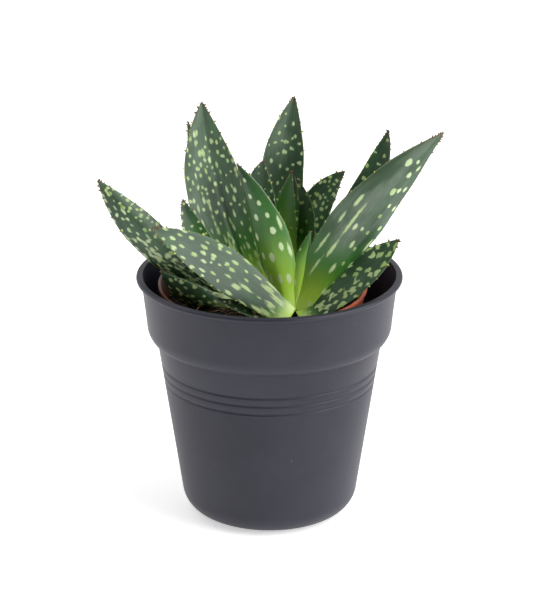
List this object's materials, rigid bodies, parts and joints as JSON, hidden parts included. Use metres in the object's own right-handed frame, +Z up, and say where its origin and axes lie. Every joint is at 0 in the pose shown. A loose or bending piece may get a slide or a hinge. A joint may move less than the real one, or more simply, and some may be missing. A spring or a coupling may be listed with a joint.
{
  "type": "potted aloe plant",
  "caption": "Potted spotted aloe: rosettes of thick toothed leaves in peat in a thin terracotta nursery pot, loose inside a wider dark plastic pot with a collar.",
  "frame": {"origin": "centre of the outer pot's flat underside, on the surface that it stands on", "axes": "+Z up along the outer pot's axis, -Y towards the side with the two forward leaves, +X towards the large right-hand leaf"},
  "size_m": [0.1673, 0.1309, 0.2066],
  "materials": {
    "outer_pot": "matte",
    "inner_pot": "satin",
    "soil": "matte",
    "stem": "satin",
    "leaf": "satin",
    "young_leaf": "satin"
  },
  "bodies": {
    "root": {"outer_pot": "outer_pot", "inner_pot": "inner_pot", "soil": "soil", "front_plant_stem": "stem", "left_plant_stem": "stem", "back_plant_stem": "stem", "heart_leaf": "young_leaf", "front_leaf": "young_leaf", "right_leaf_large": "leaf", "left_leaf_forward": "leaf", "right_leaf_low": "leaf", "front_leaf_low": "leaf", "left_leaf_small": "leaf", "left_leaf_tall": "leaf", "left_leaf_behind": "leaf", "left_leaf_far": "leaf", "left_leaf_low": "leaf", "back_heart_leaf": "leaf", "back_leaf_folded": "leaf", "back_leaf_toothed": "leaf", "back_leaf_tall": "leaf", "back_leaf_right": "leaf", "back_leaf_far_right": "leaf", "rear_leaf_left": "leaf", "rear_leaf_middle": "leaf", "rear_leaf_right": "leaf"}
  },
  "joints": []
}
